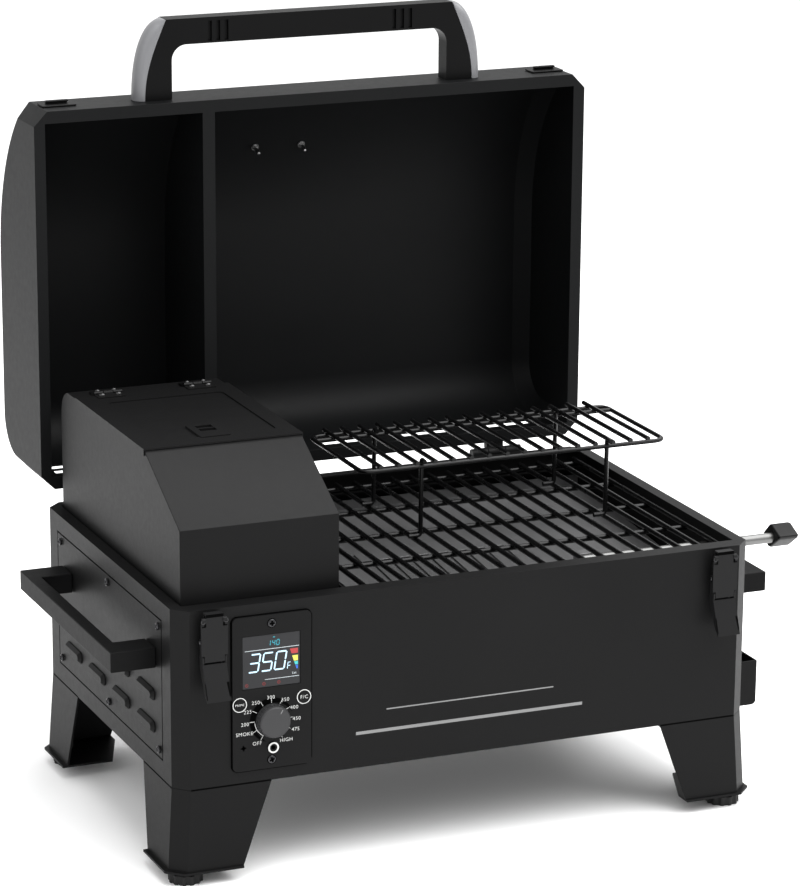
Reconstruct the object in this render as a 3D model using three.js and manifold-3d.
// Tabletop pellet smoker grill with its lid open.
// Millimetres, +Z up, front facing -Y. The pieces are laid out in a body frame whose X = 0 and Y = 0
// are the middle of the firebox and whose Z = 0 is the surface the feet stand on. The exported group
// then moves that frame so that the origin is the bottom centre of the whole grill's box.
import * as THREE from 'three';
import { mergeVertices } from 'three/addons/utils/BufferGeometryUtils.js';
import Module from 'manifold-3d';

const wasm = await Module();
wasm.setup();

// ---------------------------------------------------------------- driving dimensions

const GAP = 0.3; // clearance kept between touching pieces
const SHEET = 1.6; // folded sheet steel

const BODY_W = 576;
const BODY_D = 371.8;
const BODY_H = 169.3;
const CORNER = 13.5; // chamfer of the four upright corners
const LEG_H = 80;
const FOOT_H = 12.7;
const FLOOR_Z = FOOT_H + LEG_H; // underside of the firebox
const RIM_Z = FLOOR_Z + BODY_H; // top rim of the firebox, 262 above the ground
const SIDE_X = BODY_W / 2;
const FRONT_Y = -BODY_D / 2;
const REAR_Y = BODY_D / 2;

const OPENING_X = 276; // mouth inside the rim flange
const OPENING_FRONT = -168.5;
const OPENING_REAR = 174.5;
const DIVIDER_X = -117; // wall between the cook chamber and the pellet compartment

const HINGE_BACK = 10; // lid hinge axis behind the rear wall
const LID_OPEN_DEG = 90;
const LID_SKIN_START = 0.5; // lid rim above the firebox rim when shut
const LID_FRONT = BODY_D + HINGE_BACK;
const LID_BEVEL_X = 13.5; // end chamfer, along X
const LID_BEVEL = 14; // end chamfer, across the barrel
const LID_TOP = 132;
const LID_REAR_RADIUS = 52;
const LID_FRONT_RADIUS = 207.6;
const LID_FRONT_CENTRE = 222; // centre of the front sweep, forward of the hinge
const LID_RIM_BAND = 12;

const HOPPER_LEFT = -274.5;
const HOPPER_RIGHT = -121.6;
const HOPPER_FRONT = -163;
const HOPPER_REAR = 171.5;
const HOPPER_TOP = 118.3; // above the rim
const HOPPER_BREAK_Y = -71; // where the flat top meets the front slope
const HOPPER_BREAK_Z = 68; // where the slope meets the upright front
const HOPPER_HINGE_Y = 126;

const GRATE_ROD = 2.5; // radius
const GRATE_PITCH = 20.1;
const GRATE_RODS = 20;
const GRATE_FIRST_X = -110;
const GRATE_DROP = 9; // rod centres below the rim

const RACK_Z = 65; // rack plane above the rim
const RACK_LEFT = -47;
const RACK_RIGHT = 269;
const RACK_FRONT = -38;
const RACK_REAR = 97;

const HANDLE_REACH = 43.5; // side carry handles
const HANDLE_FRONT = -135.2;
const HANDLE_REAR = 133.5;
const HANDLE_TOP = RIM_Z - 47.5;
const HANDLE_H = 19.2;
const HANDLE_BAR = 12.6;
const HANDLE_ARM = 29.5;

const GRIP_FOOT = 181; // half width of the lid handle
const GRIP_REACH = 77.6; // how far it stands off the lid
const GRIP_LOW = 15;
const GRIP_DEPTH = 21;

const KNOB_ROD_Y = -106; // broiler slide rod
const KNOB_ROD_Z = RIM_Z - 24;
const KNOB_ROD_END = 351.6;
const KNOB_LENGTH = 22;

const PANEL_X = -196.8; // middle of the control panel
const PANEL_W = 76;
const PANEL_LOW = RIM_Z - 156.8;
const PANEL_HIGH = RIM_Z - 11;
const PANEL_FACE = FRONT_Y - 2.7;
const DIAL = { x: -197.3, z: RIM_Z - 110.3, proud: 10.5, radius: 15.3 };

const LATCH_X = 254.5;
const AUGER_Z = FLOOR_Z + 58;
const FIREPOT_X = 80;

const LEFT_REACH = SIDE_X + HANDLE_REACH;
const RIGHT_REACH = KNOB_ROD_END + KNOB_LENGTH;
const REAR_REACH = REAR_Y + HINGE_BACK + LID_TOP;
const LEVER_TIP = { y: -208.4, z: RIM_Z - 80 }; // foremost point, the latch levers' finger edge
const CENTRE_X = (RIGHT_REACH - LEFT_REACH) / 2;
const CENTRE_Y = (REAR_REACH + LEVER_TIP.y) / 2;

// ---------------------------------------------------------------- materials

function paint(color, roughness, metalness) {
  return new THREE.MeshStandardMaterial({ color, roughness, metalness });
}

const MATERIALS = {
  powderCoat: paint(0x262626, 0.55, 0.3),
  lidCoat: paint(0x242424, 0.5, 0.3),
  enamel: paint(0x171717, 0.4, 0.2),
  plastic: paint(0x202020, 0.6, 0),
  greyTrim: paint(0x828186, 0.4, 0.4),
  stainless: paint(0xb0aeac, 0.3, 0.9),
  bareSteel: paint(0x77787a, 0.45, 0.8),
  screen: paint(0x35373a, 0.2, 0),
  rubber: paint(0x161616, 0.9, 0),
  castPot: paint(0x2e2c2a, 0.7, 0.6),
};

// ---------------------------------------------------------------- shape helpers

function toSolid(geometry) {
  const plain = geometry.clone();
  plain.deleteAttribute('normal');
  plain.deleteAttribute('uv');
  const merged = mergeVertices(plain, 1e-4);
  const vertProperties = new Float32Array(merged.attributes.position.array);
  const triVerts = new Uint32Array(merged.index.array);
  return new wasm.Manifold(new wasm.Mesh({ numProp: 3, vertProperties, triVerts }));
}

function toGeometry(solid) {
  const data = solid.getMesh();
  const geometry = new THREE.BufferGeometry();
  geometry.setAttribute('position', new THREE.BufferAttribute(new Float32Array(data.vertProperties), 3));
  geometry.setIndex(new THREE.BufferAttribute(new Uint32Array(data.triVerts), 1));
  geometry.computeVertexNormals();
  return geometry;
}

function addMesh(group, name, solid, material) {
  const mesh = new THREE.Mesh(toGeometry(solid), material);
  mesh.name = name;
  group.add(mesh);
  return mesh;
}

function union(solids) {
  return solids.reduce((sum, solid) => sum.add(solid));
}

function cut(solid, tools) {
  return tools.reduce((rest, tool) => rest.subtract(tool), solid);
}

// Box between two corners, each axis as a [low, high] pair.
function block([x0, x1], [y0, y1], [z0, z1]) {
  const geometry = new THREE.BoxGeometry(x1 - x0, y1 - y0, z1 - z0);
  geometry.translate((x0 + x1) / 2, (y0 + y1) / 2, (z0 + z1) / 2);
  return toSolid(geometry);
}

function outline(points) {
  return new THREE.Shape(points.map(([a, b]) => new THREE.Vector2(a, b)));
}

function extrude(shape, depth, options = {}) {
  return new THREE.ExtrudeGeometry(shape, { depth, bevelEnabled: false, curveSegments: 8, ...options });
}

// Outline in (x, y), extruded from z0 to z1.
function prismZ(shape, z0, z1, options) {
  return toSolid(extrude(shape, z1 - z0, options).translate(0, 0, z0));
}

const TO_X = new THREE.Matrix4().makeBasis(
  new THREE.Vector3(0, 1, 0),
  new THREE.Vector3(0, 0, 1),
  new THREE.Vector3(1, 0, 0),
);

// Outline in (y, z), extruded from x0 to x1.
function prismX(shape, x0, x1, options) {
  return toSolid(extrude(shape, x1 - x0, options).applyMatrix4(TO_X).translate(x0, 0, 0));
}

const TO_Y = new THREE.Matrix4().makeBasis(
  new THREE.Vector3(1, 0, 0),
  new THREE.Vector3(0, 0, 1),
  new THREE.Vector3(0, -1, 0),
);

// Outline in (x, z), extruded from y0 to y1.
function prismY(shape, y0, y1, options) {
  return toSolid(extrude(shape, y1 - y0, options).applyMatrix4(TO_Y).translate(0, y1, 0));
}

// Round bar between two points.
function bar(from, to, radius, sides = 12) {
  const a = new THREE.Vector3(...from);
  const b = new THREE.Vector3(...to);
  const along = b.clone().sub(a);
  const geometry = new THREE.CylinderGeometry(radius, radius, along.length(), sides);
  const turn = new THREE.Quaternion().setFromUnitVectors(new THREE.Vector3(0, 1, 0), along.normalize());
  geometry.applyQuaternion(turn);
  const middle = a.add(b).multiplyScalar(0.5);
  return toSolid(geometry.translate(middle.x, middle.y, middle.z));
}

// Closed (radius, height) profile turned about Z.
function turned(profile, sides = 32) {
  const points = profile.map(([r, h]) => new THREE.Vector2(r, h));
  points.push(points[0].clone());
  return toSolid(new THREE.LatheGeometry(points, sides).rotateX(Math.PI / 2));
}

// Points along a polyline whose corners are rounded.
function roundedPath(points, bend, steps = 3) {
  const corners = points.map((p) => new THREE.Vector3(...p));
  const stations = [corners[0]];
  for (let i = 1; i < corners.length - 1; i += 1) {
    const back = corners[i - 1].clone().sub(corners[i]).normalize().multiplyScalar(bend);
    const ahead = corners[i + 1].clone().sub(corners[i]).normalize().multiplyScalar(bend);
    const turn = new THREE.QuadraticBezierCurve3(corners[i].clone().add(back), corners[i], corners[i].clone().add(ahead));
    stations.push(...turn.getPoints(steps));
  }
  stations.push(corners[corners.length - 1]);
  return stations;
}

// Rod of round section along a bent path. A closed path has the same first and last point.
function bentRod(points, radius, bend, { sides = 6, closed = false } = {}) {
  const stations = roundedPath(points, bend);
  const last = stations.length - 1;
  const count = closed ? last : last + 1;
  const step = (i) => stations[i + 1].clone().sub(stations[i]).normalize();
  const positions = [];
  const index = [];
  const out = new THREE.Vector3(0.31, 0.47, 0.83);
  for (let i = 0; i < count; i += 1) {
    const before = i > 0 ? step(i - 1) : step(closed ? last - 1 : 0);
    const after = i < last ? step(i) : before;
    const tangent = before.clone().add(after).normalize();
    out.addScaledVector(tangent, -out.dot(tangent)).normalize();
    const side = tangent.clone().cross(out);
    for (let k = 0; k < sides; k += 1) {
      const angle = (k / sides) * 2 * Math.PI;
      const point = stations[i].clone().addScaledVector(out, radius * Math.cos(angle));
      point.addScaledVector(side, radius * Math.sin(angle));
      positions.push(...point.toArray());
    }
  }
  for (let i = 0; i < last; i += 1) {
    for (let k = 0; k < sides; k += 1) {
      const a = i * sides;
      const b = ((i + 1) % count) * sides;
      const n = (k + 1) % sides;
      index.push(a + k, a + n, b + n, a + k, b + n, b + k);
    }
  }
  if (!closed) {
    for (let k = 1; k < sides - 1; k += 1) {
      index.push(0, k + 1, k, last * sides, last * sides + k, last * sides + k + 1);
    }
  }
  return meshSolid(positions, index);
}

function meshSolid(positions, index) {
  const geometry = new THREE.BufferGeometry();
  geometry.setAttribute('position', new THREE.Float32BufferAttribute(positions, 3));
  geometry.setIndex(index);
  return toSolid(geometry);
}

// Solid between two outlines of equal point count, both counter-clockwise.
function loft(lower, upper, z0, z1) {
  const count = lower.length;
  const positions = [];
  lower.forEach(([x, y]) => positions.push(x, y, z0));
  upper.forEach(([x, y]) => positions.push(x, y, z1));
  const index = [];
  const caps = THREE.ShapeUtils.triangulateShape(upper.map(([x, y]) => new THREE.Vector2(x, y)), []);
  for (const [a, b, c] of caps) {
    index.push(count + a, count + b, count + c);
    index.push(c, b, a);
  }
  for (let i = 0; i < count; i += 1) {
    const j = (i + 1) % count;
    index.push(i, j, count + j);
    index.push(i, count + j, count + i);
  }
  return meshSolid(positions, index);
}

function rectangle(x0, x1, y0, y1) {
  return [[x0, y0], [x1, y0], [x1, y1], [x0, y1]];
}

// Rectangle with its four corners cut off at 45 degrees.
function chamferedRectangle(x0, x1, y0, y1, c) {
  return [
    [x0 + c, y0], [x1 - c, y0], [x1, y0 + c], [x1, y1 - c],
    [x1 - c, y1], [x0 + c, y1], [x0, y1 - c], [x0, y0 + c],
  ];
}

function roundedRectangle(x0, x1, y0, y1, r) {
  const shape = new THREE.Shape();
  shape.absarc(x1 - r, y0 + r, r, -Math.PI / 2, 0, false);
  shape.absarc(x1 - r, y1 - r, r, 0, Math.PI / 2, false);
  shape.absarc(x0 + r, y1 - r, r, Math.PI / 2, Math.PI, false);
  shape.absarc(x0 + r, y0 + r, r, Math.PI, 1.5 * Math.PI, false);
  return shape;
}

function mirrorX(solid) {
  return solid.mirror([1, 0, 0]);
}

// ---------------------------------------------------------------- firebox

function bodyOutline(inset) {
  const corner = CORNER - inset * 0.59; // keeps the sheet even across a 45 degree corner
  return outline(chamferedRectangle(-SIDE_X + inset, SIDE_X - inset, FRONT_Y + inset, REAR_Y - inset, corner));
}

const ACCESS = { y0: -149.1, y1: 148.4, z0: RIM_Z - 150.4, z1: RIM_Z - 17.9 };
const ACCESS_MARGIN = 1;
const ACCESS_LIP = 9;
const DRAIN_Y = [-121, -99];
const DRAIN_Z = [RIM_Z - 133.4, RIM_Z - 122];

function fireboxShell() {
  const outer = prismZ(bodyOutline(0), FLOOR_Z, RIM_Z);
  const hollow = prismZ(bodyOutline(SHEET), FLOOR_Z - 1, RIM_Z - SHEET);
  const mouth = block([-OPENING_X, OPENING_X], [OPENING_FRONT, OPENING_REAR], [RIM_Z - 5, RIM_Z + 5]);
  const accessHole = block(
    [-SIDE_X - 5, -SIDE_X + 5],
    [ACCESS.y0 - ACCESS_MARGIN, ACCESS.y1 + ACCESS_MARGIN],
    [ACCESS.z0 - ACCESS_MARGIN, ACCESS.z1 + ACCESS_MARGIN],
  );
  const controlHole = block([PANEL_X - 34, PANEL_X + 34], [FRONT_Y - 5, FRONT_Y + 5], [PANEL_LOW + 5, PANEL_HIGH - 5]);
  const rodHole = bar([SIDE_X - 10, KNOB_ROD_Y, KNOB_ROD_Z], [SIDE_X + 10, KNOB_ROD_Y, KNOB_ROD_Z], 5.5, 20);
  const drainHole = block([SIDE_X - 10, SIDE_X + 10], DRAIN_Y, DRAIN_Z);
  const inletHole = block([-214, -186], [REAR_Y - 5, REAR_Y + 5], [FLOOR_Z + 34, FLOOR_Z + 56]);
  const shell = cut(outer, [hollow, mouth, accessHole, controlHole, rodHole, drainHole, inletHole]);
  return union([shell, accessFrame(), grateLedge(FRONT_Y + 1, -157), grateLedge(164, REAR_Y - 1)]);
}

// Inner frame that the side access panel screws to.
function accessFrame() {
  const x = [-SIDE_X + SHEET - 0.1, -SIDE_X + 2 * SHEET];
  const ring = block(
    x,
    [ACCESS.y0 - ACCESS_LIP, ACCESS.y1 + ACCESS_LIP],
    [ACCESS.z0 - ACCESS_LIP, ACCESS.z1 + ACCESS_LIP],
  );
  const opening = block(
    [x[0] - 5, x[1] + 5],
    [ACCESS.y0 + ACCESS_LIP, ACCESS.y1 - ACCESS_LIP],
    [ACCESS.z0 + ACCESS_LIP, ACCESS.z1 - ACCESS_LIP],
  );
  return ring.subtract(opening);
}

// Shelf along the front or rear wall that carries the cooking grate, kept inside the cut corners.
function grateLedge(y0, y1) {
  const top = RIM_Z - GRATE_DROP - 3 * GRATE_ROD + 0.4;
  const shelf = block([DIVIDER_X + 1, SIDE_X - 1], [y0, y1], [top - SHEET, top]);
  return shelf.intersect(prismZ(bodyOutline(SHEET / 2), FLOOR_Z, RIM_Z));
}

function bottomPlate() {
  return prismZ(bodyOutline(SHEET + GAP), FLOOR_Z, FLOOR_Z + SHEET);
}

function dividerWall() {
  const reach = BODY_D / 2 - SHEET - GAP;
  const wall = block([DIVIDER_X - SHEET, DIVIDER_X], [-reach, reach], [FLOOR_Z + SHEET + GAP, RIM_Z - SHEET - GAP]);
  const augerHole = bar([DIVIDER_X - 9, 0, AUGER_Z], [DIVIDER_X + 9, 0, AUGER_Z], 22.6, 28);
  const igniterHole = bar([DIVIDER_X - 9, 0, FLOOR_Z + 20], [DIVIDER_X + 9, 0, FLOOR_Z + 20], 5, 12);
  return cut(wall, [augerHole, igniterHole]);
}

const LOUVRE_Y = [101.5, 32.2, -37.8, -107.6];
const LOUVRE_Z = [RIM_Z - 95, RIM_Z - 126];
const LOUVRE_LENGTH = 46;
const LOUVRE_H = 12;

// Pressed oval louvre, hollow behind, with its slit along the lower edge.
function louvre(y, z, inset) {
  const half = LOUVRE_LENGTH / 2 - inset;
  const radius = LOUVRE_H / 2 - inset;
  const shape = new THREE.Shape();
  shape.absarc(half - radius, 0, radius, -Math.PI / 2, Math.PI / 2, false);
  shape.absarc(-half + radius, 0, radius, Math.PI / 2, 1.5 * Math.PI, false);
  const bevel = { bevelEnabled: true, bevelThickness: 3, bevelSize: 3, bevelOffset: -3, bevelSegments: 1 };
  const geometry = extrude(shape, 3, { ...bevel, curveSegments: 3 }).applyMatrix4(TO_X);
  return toSolid(geometry.rotateZ(Math.PI).translate(-SIDE_X + 2 + inset, y, z));
}

function accessPanel() {
  const sheet = block([-SIDE_X, -SIDE_X + SHEET - GAP], [ACCESS.y0, ACCESS.y1], [ACCESS.z0, ACCESS.z1]);
  const bumps = [];
  const hollows = [];
  for (const z of LOUVRE_Z) {
    for (const y of LOUVRE_Y) {
      bumps.push(louvre(y, z, 0).subtract(block([-SIDE_X + SHEET - GAP, 0], [y - 40, y + 40], [z - 20, z + 20])));
      hollows.push(louvre(y, z, 1.2));
      hollows.push(block([-SIDE_X - 2.6, -SIDE_X - 0.4], [y - 14, y + 14], [z - 9, z - 3.2]));
    }
  }
  return cut(union([sheet, ...bumps]), hollows);
}

// ---------------------------------------------------------------- legs and feet

const LEG_SHEET = 2;
const FOOT_RADIUS = 16;
const FOOT_X = 274;
const FOOT_Y = 168;
const FOOT_STUD = 4;

// Angle-section outline of the front-left leg. The corner sits at (x, y), the two wings end at
// xEnd and yEnd.
function legOutline(x, y, xEnd, yEnd, c) {
  const t = LEG_SHEET;
  const k = t * 0.59;
  return [
    [x, yEnd], [x, y + c], [x + c, y], [xEnd, y],
    [xEnd, y + t], [x + c + k, y + t], [x + t, y + c + k], [x + t, yEnd],
  ];
}

function leg() {
  const top = FLOOR_Z - GAP;
  const upper = legOutline(-SIDE_X, FRONT_Y, -196.5, -95.4, CORNER);
  const lower = legOutline(-SIDE_X - 5, FRONT_Y - 2.5, -225.5, -118.5, CORNER);
  const wings = loft(lower, upper, FOOT_H, top);
  const sole = prismZ(outline([
    [-297.2, -118.2], [-297.2, -176.2], [-282.8, -190.6], [-225.2, -190.6], [-225.2, -172], [-246, -118.2],
  ]), FOOT_H, FOOT_H + 2.2);
  const head = prismZ(outline([
    [-SIDE_X + 1, -96], [-SIDE_X + 1, -172], [-274, FRONT_Y + 1], [-197, FRONT_Y + 1], [-197, -165], [-265, -96],
  ]), top - LEG_SHEET, top);
  const studHole = bar([-FOOT_X, -FOOT_Y, 0], [-FOOT_X, -FOOT_Y, FOOT_H + 9], FOOT_STUD + 0.5, 20);
  return union([wings, sole, head]).subtract(studHole);
}

// Levelling foot: a disc with a toothed edge on a threaded stud.
function levellingFoot() {
  const teeth = 12;
  const points = [];
  for (let i = 0; i < teeth * 4; i += 1) {
    const angle = (i / (teeth * 4)) * 2 * Math.PI;
    const radius = i % 4 < 2 ? FOOT_RADIUS : FOOT_RADIUS - 1.6;
    points.push([radius * Math.cos(angle), radius * Math.sin(angle)]);
  }
  const disc = prismZ(outline(points), 0, 9);
  const collar = turned([[0, 8], [9, 8], [9, FOOT_H - GAP], [0, FOOT_H - GAP]], 20);
  const stud = bar([0, 0, 9], [0, 0, 30], FOOT_STUD, 12);
  return union([disc, collar, stud]);
}

// ---------------------------------------------------------------- carry handles

function carryHandle() {
  const inner = SIDE_X + GAP;
  const outer = SIDE_X + HANDLE_REACH;
  const ring = (t) => outline([
    [inner - 3 * t, HANDLE_FRONT + t], [outer - t, HANDLE_FRONT + t], [outer - t, HANDLE_REAR - t],
    [inner - 3 * t, HANDLE_REAR - t], [inner - 3 * t, HANDLE_REAR - HANDLE_ARM + t],
    [outer - HANDLE_BAR + t, HANDLE_REAR - HANDLE_ARM + t], [outer - HANDLE_BAR + t, HANDLE_FRONT + HANDLE_ARM - t],
    [inner - 3 * t, HANDLE_FRONT + HANDLE_ARM - t],
  ]);
  const tube = prismZ(ring(0), HANDLE_TOP - HANDLE_H, HANDLE_TOP);
  const bore = prismZ(ring(2.2), HANDLE_TOP - HANDLE_H + 2.2, HANDLE_TOP - 2.2);
  return tube.subtract(bore);
}

// ---------------------------------------------------------------- control panel

const SCREEN = { x0: -225, x1: -169.8, z0: RIM_Z - 79, z1: RIM_Z - 29.5 };
const BUTTONS = { prime_button: [-228, RIM_Z - 93], scale_button: [-166, RIM_Z - 92.6] };
const BUTTON_RADIUS = 5.6;
const JACK = [-196.2, RIM_Z - 137];
const JACK_RADIUS = 5.3;

function controlPlate() {
  const shape = roundedRectangle(PANEL_X - PANEL_W / 2, PANEL_X + PANEL_W / 2, PANEL_LOW, PANEL_HIGH, 5);
  const plate = prismY(shape, PANEL_FACE, FRONT_Y - GAP);
  const window = block(
    [SCREEN.x0 - GAP, SCREEN.x1 + GAP],
    [PANEL_FACE - 5, FRONT_Y + 5],
    [SCREEN.z0 - GAP, SCREEN.z1 + GAP],
  );
  const holes = Object.values(BUTTONS).map(([x, z]) => borePanel(x, z, BUTTON_RADIUS + 0.4));
  return cut(plate, [window, ...holes, borePanel(...JACK, JACK_RADIUS + GAP), borePanel(DIAL.x, DIAL.z, 3.4)]);
}

function borePanel(x, z, radius) {
  return bar([x, PANEL_FACE - 9, z], [x, FRONT_Y + 9, z], radius, 24);
}

// Moulded box behind the panel, open at the back for its wiring.
function controlHousing() {
  const x = [PANEL_X - 33, PANEL_X + 33];
  const z = [PANEL_LOW + 6, PANEL_HIGH - 6];
  const outer = block(x, [FRONT_Y + 12, FRONT_Y + 50], z);
  const inner = block([x[0] + 2, x[1] - 2], [FRONT_Y + 14, FRONT_Y + 60], [z[0] + 2, z[1] - 2]);
  return outer.subtract(inner);
}

function displayModule() {
  return block([SCREEN.x0, SCREEN.x1], [PANEL_FACE + 0.4, FRONT_Y + 8], [SCREEN.z0, SCREEN.z1]);
}

// Dial knob, axis along -Y from the panel face, modelled about its own axis.
function dialKnob() {
  const { radius, proud } = DIAL;
  const profile = [[0, 0], [radius, 0], [radius, 2.2], [radius - 0.6, proud - 1.2], [radius - 1.8, proud], [0, proud]];
  const cap = turned(profile, 36);
  const shaft = bar([0, 0, -12], [0, 0, 1], 3, 16);
  const pointer = block([-0.6, 0.6], [radius - 6, radius + 5], [proud - 0.5, proud + 5]);
  const turn = -30; // the pointer rests on the seventh of eleven marks, thirty degrees apart
  return union([cap, shaft]).subtract(pointer.rotate([0, 0, turn]));
}

function pushButton() {
  const cap = turned([[0, -0.8], [BUTTON_RADIUS, -0.8], [BUTTON_RADIUS, 0.8], [BUTTON_RADIUS - 0.8, 1.4], [0, 1.4]], 24);
  const stem = bar([0, 0, -8], [0, 0, -0.4], 2, 10);
  return union([cap, stem]);
}

function probeJack() {
  const socket = turned([
    [1.9, -8], [JACK_RADIUS, -8], [JACK_RADIUS, 1], [JACK_RADIUS - 0.8, 1.6], [2.6, 1.6], [1.9, 0.9],
  ], 24);
  return socket;
}

// ---------------------------------------------------------------- pellet hopper and feed

function hopperProfile(inset, low) {
  const radius = 24 - inset;
  const top = RIM_Z + HOPPER_TOP - inset;
  const rear = HOPPER_REAR - inset;
  const front = HOPPER_FRONT + inset;
  const slope = inset * 0.55; // moves the two front breaks so that the sloped sheet stays even
  const shape = new THREE.Shape();
  shape.moveTo(front, low);
  shape.lineTo(rear, low);
  shape.lineTo(rear, top - radius);
  shape.absarc(rear - radius, top - radius, radius, 0, Math.PI / 2, false);
  shape.lineTo(HOPPER_BREAK_Y + slope * 0.5, top);
  shape.lineTo(front, RIM_Z + HOPPER_BREAK_Z - slope);
  return shape;
}

function hopperShell() {
  const low = RIM_Z - 9;
  const outer = prismX(hopperProfile(0, low), HOPPER_LEFT, HOPPER_RIGHT);
  const inner = prismX(hopperProfile(SHEET, low - 5), HOPPER_LEFT + SHEET, HOPPER_RIGHT - SHEET);
  const top = [RIM_Z + HOPPER_TOP - 5, RIM_Z + HOPPER_TOP + 5];
  const mouth = block([HOPPER_LEFT + 9, HOPPER_RIGHT - 9], [HOPPER_BREAK_Y + 9, HOPPER_HINGE_Y - 9], top);
  return cut(outer, [inner, mouth]);
}

const HATCH_SKIN = 1.6;
const HATCH_AXIS_Z = 3.3; // hinge axis above the hopper's top sheet
const HATCH_HINGE_X = [-242.4, -151.8];
const LEAF_W = 28;
const KNUCKLE = 2.3;
const PIN = 1.1;

// Lid of the hopper, modelled about its hinge axis: a flanged sheet with a raised panel,
// a slotted finger plate and its own half of each hinge.
function hopperLid() {
  const x0 = HOPPER_LEFT - 1.1;
  const x1 = HOPPER_RIGHT + 1.1;
  const low = -HATCH_AXIS_Z + GAP;
  const front = HOPPER_BREAK_Y - 0.6 - HOPPER_HINGE_Y;
  const sheet = block([x0, x1], [front, -1], [low, low + HATCH_SKIN]);
  const skirtZ = [low - 5, low + HATCH_SKIN];
  const skirts = [block([x0, HOPPER_LEFT - GAP], [front, -1], skirtZ), block([HOPPER_RIGHT + GAP, x1], [front, -1], skirtZ)];
  const recess = 1.3;
  const well = prismZ(roundedRectangle(-255, -135.5, -178, -28, 7), low - recess, low + 0.2);
  const pocket = prismZ(roundedRectangle(-253, -137.5, -176, -30, 6), low + HATCH_SKIN - recess, low + HATCH_SKIN + 9);
  const plateShape = roundedRectangle(-214, -184, -181, -137, 2);
  const fingerPlate = prismZ(plateShape, low - 0.5, low + HATCH_SKIN + 0.9);
  const slots = [-147, -158].map((y) => block([-207, -191], [y - 4, y + 4], [low + 0.4, low + 20]));
  const leaves = HATCH_HINGE_X.map((x) => union([
    block([x - LEAF_W / 2, x + LEAF_W / 2], [-15, -KNUCKLE + 0.4], [low + 0.8, low + HATCH_SKIN + 1.2]),
    block([x - 4.4, x + 4.4], [-KNUCKLE, 0], [-KNUCKLE + 0.2, 0.4]),
    bar([x - 4.4, 0, 0], [x + 4.4, 0, 0], KNUCKLE, 14),
  ]));
  const pinBores = HATCH_HINGE_X.map((x) => bar([x - 9, 0, 0], [x + 9, 0, 0], PIN + 0.08, 12));
  const knuckleRoom = HATCH_HINGE_X.flatMap((x) => [-1, 1].map((side) => {
    const middle = x + side * 9.5;
    return bar([middle - 4.9, 0, 0], [middle + 4.9, 0, 0], KNUCKLE + GAP, 14);
  }));
  const pressed = union([union([sheet, well]).subtract(pocket), ...skirts, fingerPlate, ...leaves]);
  return cut(pressed, [...slots, ...pinBores, ...knuckleRoom]);
}

// Fixed half of a hopper lid hinge, with its two knuckles and pin, about the hinge axis.
function hopperHinge(x) {
  const low = -HATCH_AXIS_Z + GAP;
  const leaf = block([x - LEAF_W / 2, x + LEAF_W / 2], [2, 15], [low, low + 1.4]);
  const pieces = [leaf, bar([x - 13.5, 0, 0], [x + 13.5, 0, 0], PIN, 12)];
  for (const side of [-1, 1]) {
    const middle = x + side * 9.5;
    pieces.push(bar([middle - 4.5, 0, 0], [middle + 4.5, 0, 0], KNUCKLE, 14));
    pieces.push(block([middle - 4.5, middle + 4.5], [0, 3], [-KNUCKLE, -KNUCKLE + 1.2]));
  }
  return union(pieces);
}

const INLET_X = [-214, -166]; // where pellets drop into the auger tube

// Sheet funnel from the hopper mouth down to the auger tube.
function pelletBin() {
  const top = RIM_Z + HOPPER_TOP - SHEET - 8;
  const low = AUGER_Z + 21.6;
  const upper = rectangle(HOPPER_LEFT + 6, HOPPER_RIGHT - 6, -105, 140);
  const waist = rectangle(HOPPER_LEFT + 6, HOPPER_RIGHT - 6, -105, 140);
  const lower = rectangle(INLET_X[0], INLET_X[1], -15, 15);
  const shrink = (points, t) => rectangle(points[0][0] + t, points[1][0] - t, points[0][1] + t, points[2][1] - t);
  const outer = union([loft(waist, upper, RIM_Z + 5, RIM_Z + 82), loft(lower, waist, low, RIM_Z + 5.01)]);
  const inner = union([
    loft(shrink(waist, 1.5), shrink(upper, 1.5), RIM_Z + 5, top + 9),
    loft(shrink(lower, 1.5), shrink(waist, 1.5), low, RIM_Z + 5.01),
    loft(shrink(lower, 1.5), shrink(lower, 1.5), low - 5, low + 0.01),
  ]);
  const saddle = bar([-300, 0, AUGER_Z], [0, 0, AUGER_Z], 22.3, 28);
  return cut(outer, [inner, saddle]);
}

function augerTube() {
  const outer = bar([-224, 0, AUGER_Z], [FIREPOT_X - 36, 0, AUGER_Z], 22, 28);
  const inner = bar([-230, 0, AUGER_Z], [FIREPOT_X, 0, AUGER_Z], 20.2, 28);
  const inlet = block([INLET_X[0] + 2, INLET_X[1] - 2], [-13, 13], [AUGER_Z, AUGER_Z + 40]);
  return cut(outer, [inner, inlet]);
}

// Helical flight round the X axis, closed at both ends.
function flight(x0, x1, inner, outer, pitch, thickness) {
  const perTurn = 10;
  const steps = Math.round(((x1 - x0) / pitch) * perTurn);
  const positions = [];
  const index = [];
  for (let i = 0; i <= steps; i += 1) {
    const angle = (i / perTurn) * 2 * Math.PI;
    const x = x0 + ((x1 - x0) * i) / steps;
    for (const [radius, shift] of [[inner, 0], [outer, 0], [outer, thickness], [inner, thickness]]) {
      positions.push(x + shift, radius * Math.cos(angle), radius * Math.sin(angle));
    }
    if (i > 0) {
      const a = (i - 1) * 4;
      const b = i * 4;
      for (let k = 0; k < 4; k += 1) {
        const n = (k + 1) % 4;
        index.push(a + k, b + n, a + n);
        index.push(a + k, b + k, b + n);
      }
    }
  }
  const last = steps * 4;
  index.push(0, 1, 2, 0, 2, 3);
  index.push(last, last + 2, last + 1, last, last + 3, last + 2);
  return meshSolid(positions, index);
}

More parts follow.
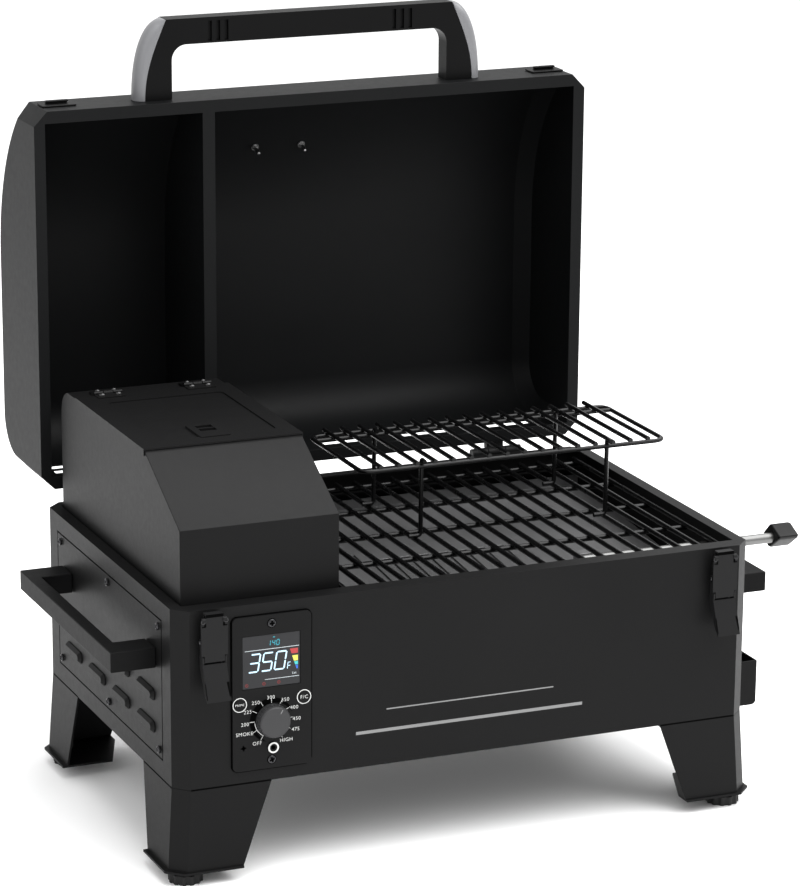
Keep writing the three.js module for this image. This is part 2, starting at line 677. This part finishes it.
function auger() {
  const shaft = bar([-222.5, 0, 0], [FIREPOT_X - 42, 0, 0], 5, 14);
  return union([shaft, flight(-220, FIREPOT_X - 46, 4, 19, 38, 2.4)]);
}

// Gear motor on the end of the auger tube, with its output socket.
function augerMotor() {
  const flange = block([-227, -224.4], [-26, 26], [AUGER_Z - 26, AUGER_Z + 26]);
  const gearbox = block([-252, -226], [-24, 24], [AUGER_Z - 24, AUGER_Z + 24]);
  const motor = bar([-279, 0, AUGER_Z], [-251, 0, AUGER_Z], 19, 24);
  return union([flange, gearbox, motor]);
}

const POT_RADIUS = 36;

function firePot() {
  const base = FLOOR_Z + SHEET + GAP;
  const profile = [
    [0, 0], [POT_RADIUS, 0], [POT_RADIUS, 76], [POT_RADIUS + 5, 76], [POT_RADIUS + 5, 78], [POT_RADIUS - 2.5, 78],
    [POT_RADIUS - 2.5, 12], [0, 12],
  ];
  const cup = turned(profile, 28).translate([FIREPOT_X, 0, base]);
  const feedHole = bar([FIREPOT_X - 60, 0, AUGER_Z], [FIREPOT_X, 0, AUGER_Z], 22.4, 28);
  const igniterHole = bar([FIREPOT_X - 60, 0, FLOOR_Z + 20], [FIREPOT_X, 0, FLOOR_Z + 20], 5, 12);
  const airHoles = [];
  for (const angle of [60, 180, 300]) {
    const a = ((angle - 90) * Math.PI) / 180;
    const reach = [FIREPOT_X + 50 * Math.cos(a), 50 * Math.sin(a), base + 30];
    airHoles.push(bar([FIREPOT_X, 0, base + 30], reach, 3, 6));
  }
  return cut(cup, [feedHole, igniterHole, ...airHoles]);
}

function igniter() {
  return union([
    bar([-140, 0, FLOOR_Z + 20], [FIREPOT_X - 28, 0, FLOOR_Z + 20], 4.5, 12),
    bar([-150, 0, FLOOR_Z + 20], [-132, 0, FLOOR_Z + 20], 7, 12),
  ]);
}

const FAN = { x: -250, y: 118, z: FLOOR_Z + 46, radius: 38, depth: 34 };

// Scroll housing of the combustion fan, open towards the louvres, with its air duct.
function fanHousing() {
  const drum = bar([FAN.x, FAN.y, FAN.z], [FAN.x + FAN.depth, FAN.y, FAN.z], FAN.radius, 28);
  const duct = block([FAN.x, DIVIDER_X - SHEET - 1], [FAN.y - 30, FAN.y + 14], [FAN.z - FAN.radius, FAN.z - 14]);
  const chamber = bar([FAN.x - 5, FAN.y, FAN.z], [FAN.x + FAN.depth - 2, FAN.y, FAN.z], FAN.radius - 2, 28);
  const throat = block([FAN.x + 2, 0], [FAN.y - 28, FAN.y + 12], [FAN.z - FAN.radius + 2, FAN.z - 16]);
  return cut(union([drum, duct]), [chamber, throat]);
}

function fanImpeller() {
  const hub = bar([2, 0, 0], [FAN.depth - 4, 0, 0], 8, 16);
  const plate = bar([FAN.depth - 7, 0, 0], [FAN.depth - 4.4, 0, 0], 32, 24);
  const blades = [];
  const count = 10;
  for (let i = 0; i < count; i += 1) {
    const blade = block([6, FAN.depth - 6], [22, 32], [-0.8, 0.8]);
    blades.push(blade.rotate([(360 * i) / count, 0, 0]));
  }
  return union([hub, plate, ...blades]);
}

function powerInlet() {
  const body = block([-213.5, -186.5], [REAR_Y - 18, REAR_Y + 1], [FLOOR_Z + 34.5, FLOOR_Z + 55.5]);
  const flange = block([-219, -181], [REAR_Y + GAP, REAR_Y + 3], [FLOOR_Z + 29, FLOOR_Z + 61]);
  const socket = prismY(outline(chamferedRectangle(-210.5, -189.5, FLOOR_Z + 37, FLOOR_Z + 53, 3)), REAR_Y - 12, REAR_Y + 9);
  const pins = [-205, -200, -195].map((x, i) => {
    const z = FLOOR_Z + (i === 1 ? 48 : 44);
    return block([x - 1, x + 1], [REAR_Y - 13, REAR_Y - 2], [z - 2.5, z + 2.5]);
  });
  return union([union([body, flange]).subtract(socket), ...pins]);
}

function temperatureProbe() {
  const y = 120;
  const z = RIM_Z - 34;
  return union([
    bar([DIVIDER_X + GAP, y, z], [DIVIDER_X + 5, y, z], 8, 16),
    bar([DIVIDER_X + 4, y, z], [DIVIDER_X + 46, y, z], 2.5, 12),
  ]);
}

// ---------------------------------------------------------------- cook chamber

const DRIP_SLOTS = { x: [-5, 15, 35, 55, 75, 95, 115, 135], y0: -40, y1: 40, w: 9 };
const SLIDE_LIFT = 2.2;

// Height of the sloping drip plate's upper face at a given depth.
function dripHeight(y) {
  return RIM_Z - 62 + ((y + 92) * 24) / 268;
}

function dripPlate() {
  const path = [
    [176, RIM_Z - 28], [176, dripHeight(176)], [-92, dripHeight(-92)], [-110, RIM_Z - 72],
    [-128, RIM_Z - 62], [-176, RIM_Z - 56], [-176, RIM_Z - 30],
  ];
  const upper = path.map(([y, z]) => [y, z]);
  const lower = [
    [-177.8, RIM_Z - 30], [-177.8, RIM_Z - 57.6], [-128, RIM_Z - 63.9], [-110, RIM_Z - 73.9],
    [-92, dripHeight(-92) - 1.7], [177.8, dripHeight(178) - 1.7], [177.8, RIM_Z - 28],
  ];
  const sheet = prismX(outline([...upper, ...lower].reverse()), DIVIDER_X + 2, SIDE_X - 3);
  const slots = DRIP_SLOTS.x.map((x) => block([x, x + DRIP_SLOTS.w], [DRIP_SLOTS.y0, DRIP_SLOTS.y1], [0, RIM_Z]));
  const drainCut = block([SIDE_X - 26, SIDE_X - 5], [-118, -102], [0, RIM_Z - 60]);
  const room = prismZ(bodyOutline(SHEET + 1.4), FLOOR_Z, RIM_Z); // follows the firebox's cut corners
  return cut(sheet.intersect(room), [...slots, drainCut]);
}

// Sliding shutter over the slots, joined to its operating rod.
function broilerSlide() {
  const at = (y, lift) => [y, dripHeight(y) + lift];
  const t = SLIDE_LIFT;
  const sheet = prismX(outline([at(-88, GAP + 0.3), at(60, GAP + 0.3), at(60, t), at(-88, t)]), -16, 168);
  const slots = DRIP_SLOTS.x.map((x) => {
    const left = x - 10;
    return block([left, left + DRIP_SLOTS.w], [DRIP_SLOTS.y0, DRIP_SLOTS.y1], [0, RIM_Z]);
  });
  const post = block([150, 168], [-88, -85.5], [dripHeight(-88) + 1, KNOB_ROD_Z + 4]);
  const tab = block([150, 168], [-98, -85.5], [KNOB_ROD_Z - 4, KNOB_ROD_Z + 4]);
  return union([cut(sheet, slots), post, tab]);
}

function slideRod() {
  return union([
    bar([150, KNOB_ROD_Y, KNOB_ROD_Z], [KNOB_ROD_END + 12, KNOB_ROD_Y, KNOB_ROD_Z], 5, 20),
    block([150, 168], [KNOB_ROD_Y, -98.3], [KNOB_ROD_Z - 3, KNOB_ROD_Z + 3]),
  ]);
}

function slideKnob() {
  const section = outline([[-16, 5], [-14, 1.4], [2.6, -10.6], [7, -10.8], [16, -3.4], [16.6, 1.6], [5.4, 12.2], [1, 12.6]]);
  const bevel = { bevelEnabled: true, bevelThickness: 2, bevelSize: 1.6, bevelOffset: -1.6, bevelSegments: 2 };
  const solid = prismX(section, KNOB_ROD_END + 2, KNOB_ROD_END + KNOB_LENGTH - 2, bevel);
  const socket = bar([KNOB_ROD_END - 5, 0, 0], [KNOB_ROD_END + 12.4, 0, 0], 5.3, 20);
  return solid.translate([0, KNOB_ROD_Y, KNOB_ROD_Z]).subtract(socket.translate([0, KNOB_ROD_Y, KNOB_ROD_Z]));
}

// Channel that leads fat from the gutter through the side wall to the cup.
function greaseDrain() {
  const inX = [SIDE_X - 24, SIDE_X - 6];
  const outer = union([
    block(inX, [-117.6, -102.4], [DRAIN_Z[0] + 1, RIM_Z - 64]),
    block([inX[0], SIDE_X + 12], [-119, -101], [DRAIN_Z[0] + 1, DRAIN_Z[1] - 1]),
  ]);
  const bore = union([
    block([inX[0] + 1.5, inX[1] - 1.5], [-116, -104], [DRAIN_Z[0] + 2.6, RIM_Z]),
    block([inX[0] + 1.5, SIDE_X + 20], [-117.5, -102.5], [DRAIN_Z[0] + 2.6, DRAIN_Z[1] + 9]),
  ]);
  const roof = block([inX[0], inX[1] + 1], [-119, -101], [DRAIN_Z[1] - 2.5, DRAIN_Z[1] - 1]);
  const riser = block([inX[0] + 1.5, inX[1] - 1.5], [-116, -104], [DRAIN_Z[1] - 6, DRAIN_Z[1] + 6]);
  return union([outer.subtract(bore), roof.subtract(riser)]);
}

const CUP = { x0: SIDE_X + 1, x1: 322, y0: -141, y1: -70, z0: RIM_Z - 179, z1: RIM_Z - 134 };

function greaseCup() {
  const profile = (t, top) => {
    const r = 5 - t;
    const shape = new THREE.Shape();
    shape.moveTo(CUP.x0 + t, top);
    shape.lineTo(CUP.x0 + t, CUP.z0 + t + r);
    shape.absarc(CUP.x0 + t + r, CUP.z0 + t + r, r, Math.PI, 1.5 * Math.PI, false);
    shape.absarc(CUP.x1 - t - r, CUP.z0 + t + r, r, 1.5 * Math.PI, 2 * Math.PI, false);
    shape.lineTo(CUP.x1 - t, top);
    return shape;
  };
  const outer = prismY(profile(0, CUP.z1), CUP.y0, CUP.y1);
  const inner = prismY(profile(1.6, CUP.z1 + 5), CUP.y0 + 1.6, CUP.y1 - 1.6);
  return outer.subtract(inner);
}

function grateRodX(i) {
  return GRATE_FIRST_X + i * GRATE_PITCH;
}

function mainGrate() {
  const z = RIM_Z - GRATE_DROP;
  const crossZ = z - 1.6 * GRATE_ROD;
  const rods = [];
  for (let i = 0; i < GRATE_RODS; i += 1) {
    rods.push(bar([grateRodX(i), -165, z], [grateRodX(i), 171, z], GRATE_ROD, 6));
  }
  for (const y of [-161, -76, 4, 84, 167]) {
    rods.push(bar([grateRodX(0) - 3, y, crossZ], [grateRodX(GRATE_RODS - 1) + 3, y, crossZ], GRATE_ROD, 6));
  }
  return union(rods);
}

const RACK_ROD = 2.2;
const RACK_RODS = 16;
const RACK_LEG_X = [14, 208];
const RACK_LEG_Y = [-34, 82];

function upperRack() {
  const z = RIM_Z + RACK_Z;
  const r = RACK_ROD;
  const start = [RACK_LEFT + 60, RACK_FRONT, z];
  const frame = [
    start, [RACK_LEFT, RACK_FRONT, z], [RACK_LEFT, RACK_REAR, z],
    [RACK_RIGHT, RACK_REAR, z], [RACK_RIGHT, RACK_FRONT, z], start,
  ];
  const pieces = [bentRod(frame, r, 12, { closed: true })];
  const pitch = (RACK_RIGHT - RACK_LEFT) / (RACK_RODS + 1);
  for (let i = 1; i <= RACK_RODS; i += 1) {
    const x = RACK_LEFT + pitch * i;
    pieces.push(bar([x, RACK_FRONT - 1, z + 1.5 * r], [x, RACK_REAR + 9, z + 1.5 * r], r, 6));
  }
  pieces.push(bar([RACK_LEFT, RACK_LEG_Y[1], z], [RACK_RIGHT, RACK_LEG_Y[1], z], r, 6));
  const footZ = RIM_Z - GRATE_DROP + GRATE_ROD + RACK_ROD + GAP;
  for (const x of RACK_LEG_X) {
    for (const y of RACK_LEG_Y) {
      const toe = [x - 12, y, footZ];
      pieces.push(bentRod([[x, y - 9, z + 5.5], [x, y - 1, z + 6.5], [x, y, footZ], toe], r, 4));
    }
  }
  return union(pieces);
}

// ---------------------------------------------------------------- lid
// The lid's own frame has its origin on the hinge axis. Shut, -Y runs forward over the firebox
// and +Z is up, so that the group's turn about X opens it.

function lidProfile(inset) {
  const rearCentre = [-(HINGE_BACK + LID_REAR_RADIUS), LID_TOP - LID_REAR_RADIUS];
  const frontCentre = [-LID_FRONT_CENTRE, LID_TOP - LID_FRONT_RADIUS];
  const wall = -(LID_FRONT - inset);
  const reach = -wall - LID_FRONT_CENTRE;
  const radius = LID_FRONT_RADIUS - inset;
  const wallAngle = Math.PI - Math.acos(reach / radius);
  const shape = new THREE.Shape();
  shape.moveTo(wall, -30);
  shape.lineTo(-HINGE_BACK - inset, -30);
  shape.absarc(rearCentre[0], rearCentre[1], LID_REAR_RADIUS - inset, 0, Math.PI / 2, false);
  shape.absarc(frontCentre[0], frontCentre[1], radius, Math.PI / 2, wallAngle, false);
  return shape;
}

// Barrel with chamfered ends, inset on every side by the given amount.
function lidBarrel(inset) {
  const half = SIDE_X - inset;
  const bevel = {
    bevelEnabled: true,
    bevelThickness: LID_BEVEL_X,
    bevelSize: LID_BEVEL,
    bevelOffset: -LID_BEVEL,
    bevelSegments: 1,
    curveSegments: 14,
  };
  return prismX(lidProfile(inset), -half + LID_BEVEL_X, half - LID_BEVEL_X, bevel);
}

const EXHAUST_X = [-233, -139.8, -46.6, 46.6, 139.8, 233];
const EXHAUST_ROWS = [55.2, 71.6];
const EXHAUST_SLOT = [48.5, 12];
const PARTITION_X = -111.8;

function lidShell() {
  const above = (z) => block([-999, 999], [-999, 999], [z, 999]);
  const shell = lidBarrel(0).intersect(above(LID_SKIN_START));
  const cavity = lidBarrel(SHEET).intersect(above(LID_SKIN_START + SHEET));
  const mouthY = [-LID_FRONT + LID_RIM_BAND, -HINGE_BACK - LID_RIM_BAND];
  const hopperMouth = block([-SIDE_X + 11, PARTITION_X - 6.3], mouthY, [-5, 9]);
  const cookMouth = block([PARTITION_X + 6.3, SIDE_X - LID_RIM_BAND], mouthY, [-5, 9]);
  const slots = EXHAUST_ROWS.flatMap((z) => EXHAUST_X.map((x) => {
    const [w, h] = EXHAUST_SLOT;
    return block([x - w / 2, x + w / 2], [-HINGE_BACK - 9, -HINGE_BACK + 9], [z - h / 2, z + h / 2]);
  }));
  return cut(shell, [cavity, hopperMouth, cookMouth, ...slots]);
}

function lidPartition() {
  const slab = block([PARTITION_X - 0.8, PARTITION_X + 0.8], [-999, 999], [LID_SKIN_START + SHEET + GAP, 999]);
  return lidBarrel(SHEET + GAP).intersect(slab);
}

function gripCurve() {
  const foot = [GRIP_FOOT, LID_FRONT + GAP];
  const tip = [150, LID_FRONT + GRIP_REACH];
  const outer = new THREE.CubicBezierCurve(
    new THREE.Vector2(...foot),
    new THREE.Vector2(GRIP_FOOT, LID_FRONT + 46),
    new THREE.Vector2(168, tip[1]),
    new THREE.Vector2(...tip),
  );
  const inner = new THREE.CubicBezierCurve(
    new THREE.Vector2(171, foot[1]),
    new THREE.Vector2(171, LID_FRONT + 30),
    new THREE.Vector2(160, LID_FRONT + 52),
    new THREE.Vector2(149, tip[1]),
  );
  return { outer: outer.getPoints(14), inner: inner.getPoints(12) };
}

// Outline in (x, reach), extruded over the handle's depth. Reach is forward of the hinge.
function gripPrism(points, low, high) {
  const flipped = points.map(([x, reach]) => [x, -reach]);
  return prismZ(outline(flipped), low, high);
}

// Grey end cap of the lid handle, on the +X side.
function gripCap() {
  const { outer, inner } = gripCurve();
  const back = inner.reverse();
  const points = [...outer, ...back].map((p) => [p.x, p.y]);
  return gripPrism(points, GRIP_LOW, GRIP_LOW + GRIP_DEPTH);
}

function gripBar() {
  const { inner } = gripCurve();
  const right = inner.map((p) => [p.x - GAP, p.y]);
  const left = right.map(([x, reach]) => [-x, reach]).reverse();
  const solid = gripPrism([...right, ...left], GRIP_LOW + 0.6, GRIP_LOW + GRIP_DEPTH - 0.6);
  const palm = roundedRectangle(-143.6, 143.6, -(LID_FRONT + 52.6), -(LID_FRONT - 40), 15);
  const opening = prismZ(palm, GRIP_LOW - 9, GRIP_LOW + GRIP_DEPTH + 9);
  const notches = [];
  for (const side of [-1, 1]) {
    for (const shift of [-8.5, 0, 8.5]) {
      const x = side * 96 + shift;
      const reach = [-(LID_FRONT + 74), -(LID_FRONT + 54.5)];
      notches.push(block([x - 2, x + 2], reach, [GRIP_LOW - 5, GRIP_LOW + 3.4]));
    }
  }
  return cut(solid, [opening, ...notches]);
}

// Catch on the lid's front wall that a latch hook pulls on.
function keeper(x) {
  const face = -LID_FRONT - GAP;
  const plate = block([x - 17, x + 17], [face - 1.6, face], [19, 37]);
  const lip = block([x - 11, x + 11], [face - 5, face - 1], [29, 31]);
  const turn = block([x - 11, x + 11], [face - 5, face - 3.4], [26, 31]);
  return union([plate, lip, turn]);
}

// ---------------------------------------------------------------- lid hinges

const HINGE_X = [-196, 196];
const HINGE_W = 54;
const BARREL = 5;
const HINGE_PIN = 2.5;

// Firebox half of a lid hinge, in the body frame, with two knuckles and the pin.
function bodyHinge(x) {
  const axisY = REAR_Y + HINGE_BACK;
  const plate = block([x - HINGE_W / 2, x + HINGE_W / 2], [REAR_Y + GAP, REAR_Y + 2], [RIM_Z - 36, RIM_Z - 1]);
  const pieces = [plate, bar([x - HINGE_W / 2, axisY, RIM_Z], [x + HINGE_W / 2, axisY, RIM_Z], HINGE_PIN, 14)];
  for (const side of [-1, 1]) {
    const middle = x + side * 18.5;
    pieces.push(bar([middle - 8.5, axisY, RIM_Z], [middle + 8.5, axisY, RIM_Z], BARREL, 18));
    pieces.push(block([middle - 8.5, middle + 8.5], [REAR_Y + 1, axisY], [RIM_Z - BARREL, RIM_Z - 1]));
  }
  return union(pieces);
}

// Lid half of a hinge, in the lid's frame, with the middle knuckle.
function lidHinge(x) {
  const face = -HINGE_BACK + GAP;
  const leaf = block([x - HINGE_W / 2, x + HINGE_W / 2], [face, face + 1.6], [6.5, 38]);
  const arm = block([x - 9.2, x + 9.2], [face, -3], [1.5, 9]);
  const knuckle = bar([x - 9.2, 0, 0], [x + 9.2, 0, 0], BARREL, 18);
  const bore = bar([x - 12, 0, 0], [x + 12, 0, 0], HINGE_PIN + 0.08, 14);
  return union([leaf, arm, knuckle]).subtract(bore);
}

// ---------------------------------------------------------------- draw latches

const LEVER_AXIS = { y: FRONT_Y - 6.2, z: RIM_Z - 28 };
const HOOK_AXIS = { y: FRONT_Y - 8.5, z: RIM_Z - 44.5 };

function latchBase(x) {
  const plate = block([x - 9, x + 9], [FRONT_Y - 1.9, FRONT_Y - GAP], [RIM_Z - 52, RIM_Z - 12]);
  const ears = [-1, 1].map((side) => {
    const span = [x + side * 7.4, x + side * 9].sort((a, b) => a - b);
    return block(span, [LEVER_AXIS.y - 2.6, FRONT_Y - 1], [LEVER_AXIS.z - 4, LEVER_AXIS.z + 4]);
  });
  const pin = bar([x - 12, LEVER_AXIS.y, LEVER_AXIS.z], [x + 12, LEVER_AXIS.y, LEVER_AXIS.z], 1.5, 12);
  return union([plate, ...ears, pin]);
}

// Lever of the latch, modelled about its pivot: two side arms, a flared finger plate and the
// pin that carries the hook.
function latchLever(x) {
  const hookPin = [HOOK_AXIS.y - LEVER_AXIS.y, HOOK_AXIS.z - LEVER_AXIS.z];
  const knee = [hookPin[0] - 1.9, hookPin[1] - 3.4];
  const tip = [LEVER_TIP.y - LEVER_AXIS.y, LEVER_TIP.z - LEVER_AXIS.z];
  const finger = prismX(outline([knee, tip, [tip[0] + 1.6, tip[1] - 0.5], [knee[0] + 1.5, knee[1]]]), x - 11.5, x + 11.5);
  const side = outline([
    [2.8, 2.8], [-2.6, 2.8], [-3.1, -12.4], [-4.7, -13.6], [-4.7, -18.4], [knee[0] + 0.3, knee[1]],
    [tip[0] + 0.8, tip[1] + 1], [tip[0] + 6, tip[1] + 4], [4, -24],
  ]);
  const pivotHole = bar([x - 20, 0, 0], [x + 20, 0, 0], 1.58, 12);
  const flanges = [-1, 1].map((sign) => {
    const span = [x + sign * 10, x + sign * 11.5].sort((a, b) => a - b);
    return prismX(side, ...span).subtract(pivotHole);
  });
  return union([finger, ...flanges, bar([x - 10.5, ...hookPin], [x + 10.5, ...hookPin], 1, 12)]);
}

// Hook plate of the latch, modelled about its pivot on the lever.
function latchHook(x) {
  const top = RIM_Z - 1 - HOOK_AXIS.z;
  const shoulder = top - 9;
  const face = [-2.6, -1.2];
  const plate = prismY(outline([
    [x - 9.6, -1.5], [x + 9.6, -1.5], [x + 9.6, 4.6], [x + 12.5, 4.6], [x + 12.8, shoulder], [x + 8.3, shoulder],
    [x + 8.3, top], [x - 8.3, top], [x - 8.3, shoulder], [x - 12.8, shoulder], [x - 12.5, 4.6], [x - 9.6, 4.6],
  ]), ...face);
  const eye = bar([x - 9.6, 0, 0], [x + 9.6, 0, 0], 2.2, 14);
  const lip = block([x - 8.3, x + 8.3], [face[0], 5], [top - 1.4, top]);
  const nib = block([x - 8.3, x + 8.3], [3.6, 5], [top - 5, top]);
  const curls = [-1, 1].map((side) => {
    const ends = [x + side * 8, x + side * 11.6];
    return bar([ends[0], -1.4, shoulder + 3.2], [ends[1], -1.4, shoulder + 3.2], 2.4, 12);
  });
  const bore = bar([x - 20, 0, 0], [x + 20, 0, 0], 1.08, 12);
  return union([plate, eye, lip, nib, ...curls]).subtract(bore);
}

// ---------------------------------------------------------------- assembly

const grill = new THREE.Group();
grill.name = 'grill';
grill.position.set(-CENTRE_X, -CENTRE_Y, 0);

const M = MATERIALS;

addMesh(grill, 'firebox_shell', fireboxShell(), M.powderCoat);
addMesh(grill, 'bottom_plate', bottomPlate(), M.powderCoat);
addMesh(grill, 'divider_wall', dividerWall(), M.powderCoat);
addMesh(grill, 'access_panel', accessPanel(), M.powderCoat);

const LEG_SOLID = leg();
const LEG_PLACES = {
  front_left: LEG_SOLID,
  front_right: mirrorX(LEG_SOLID),
  rear_left: LEG_SOLID.mirror([0, 1, 0]),
  rear_right: mirrorX(LEG_SOLID.mirror([0, 1, 0])),
};
for (const [place, solid] of Object.entries(LEG_PLACES)) {
  addMesh(grill, `leg_${place}`, solid, M.powderCoat);
  const foot = addMesh(grill, `levelling_foot_${place}`, levellingFoot(), M.rubber);
  const x = place.endsWith('left') ? -FOOT_X : FOOT_X;
  const y = place.startsWith('front') ? -FOOT_Y : FOOT_Y;
  foot.position.set(x, y, 0);
}

addMesh(grill, 'carry_handle_right', carryHandle(), M.powderCoat);
addMesh(grill, 'carry_handle_left', mirrorX(carryHandle()), M.powderCoat);

addMesh(grill, 'control_plate', controlPlate(), M.plastic);
addMesh(grill, 'control_housing', controlHousing(), M.plastic);
addMesh(grill, 'display_module', displayModule(), M.screen);
const panelFace = new THREE.Group();
panelFace.position.y = PANEL_FACE;
panelFace.rotation.x = Math.PI / 2; // local +Z now points out of the panel
grill.add(panelFace);
const dial = addMesh(panelFace, 'temperature_knob', dialKnob(), M.plastic);
dial.position.set(DIAL.x, DIAL.z, GAP);
for (const [name, [x, z]] of Object.entries(BUTTONS)) {
  addMesh(panelFace, name, pushButton(), M.plastic).position.set(x, z, 0);
}
addMesh(panelFace, 'probe_jack', probeJack(), M.plastic).position.set(...JACK, 0);

addMesh(grill, 'hopper_shell', hopperShell(), M.powderCoat);
const hatch = new THREE.Group();
hatch.position.set(0, HOPPER_HINGE_Y, RIM_Z + HOPPER_TOP + HATCH_AXIS_Z);
grill.add(hatch);
addMesh(hatch, 'hopper_lid', hopperLid(), M.powderCoat);
HATCH_HINGE_X.forEach((x, i) => {
  addMesh(hatch, `hopper_hinge_${i === 0 ? 'left' : 'right'}`, hopperHinge(x), M.powderCoat);
});
addMesh(grill, 'pellet_bin', pelletBin(), M.bareSteel);
addMesh(grill, 'auger_tube', augerTube(), M.bareSteel);
addMesh(grill, 'auger', auger(), M.bareSteel).position.z = AUGER_Z;
addMesh(grill, 'auger_motor', augerMotor(), M.bareSteel);
addMesh(grill, 'fire_pot', firePot(), M.castPot);
addMesh(grill, 'igniter', igniter(), M.bareSteel);
addMesh(grill, 'fan_housing', fanHousing(), M.plastic);
addMesh(grill, 'fan_impeller', fanImpeller(), M.plastic).position.set(FAN.x, FAN.y, FAN.z);
addMesh(grill, 'power_inlet', powerInlet(), M.plastic);
addMesh(grill, 'temperature_probe', temperatureProbe(), M.stainless);

addMesh(grill, 'drip_plate', dripPlate(), M.bareSteel);
addMesh(grill, 'broiler_slide', broilerSlide(), M.bareSteel);
addMesh(grill, 'slide_rod', slideRod(), M.stainless);
addMesh(grill, 'slide_knob', slideKnob(), M.plastic);
addMesh(grill, 'grease_drain', greaseDrain(), M.bareSteel);
addMesh(grill, 'grease_cup', greaseCup(), M.powderCoat);
addMesh(grill, 'main_grate', mainGrate(), M.enamel);
addMesh(grill, 'upper_rack', upperRack(), M.enamel);

const lid = new THREE.Group();
lid.position.set(0, REAR_Y + HINGE_BACK, RIM_Z);
lid.rotation.x = THREE.MathUtils.degToRad(-LID_OPEN_DEG);
grill.add(lid);
addMesh(lid, 'lid_shell', lidShell(), M.lidCoat);
addMesh(lid, 'lid_partition', lidPartition(), M.lidCoat);
addMesh(lid, 'lid_handle_bar', gripBar(), M.plastic);
addMesh(lid, 'lid_handle_cap_right', gripCap(), M.greyTrim);
addMesh(lid, 'lid_handle_cap_left', mirrorX(gripCap()), M.greyTrim);

for (const [i, side] of ['left', 'right'].entries()) {
  const sign = i === 0 ? -1 : 1;
  addMesh(lid, `latch_keeper_${side}`, keeper(sign * 256), M.powderCoat);
  addMesh(grill, `lid_hinge_body_${side}`, bodyHinge(HINGE_X[i]), M.powderCoat);
  addMesh(lid, `lid_hinge_leaf_${side}`, lidHinge(HINGE_X[i]), M.powderCoat);
  addMesh(grill, `latch_base_${side}`, latchBase(sign * LATCH_X), M.powderCoat);
  const lever = addMesh(grill, `latch_lever_${side}`, latchLever(sign * LATCH_X), M.powderCoat);
  lever.position.set(0, LEVER_AXIS.y, LEVER_AXIS.z);
  const hook = addMesh(grill, `latch_hook_${side}`, latchHook(sign * LATCH_X), M.powderCoat);
  hook.position.set(0, HOOK_AXIS.y, HOOK_AXIS.z);
}

export default grill;
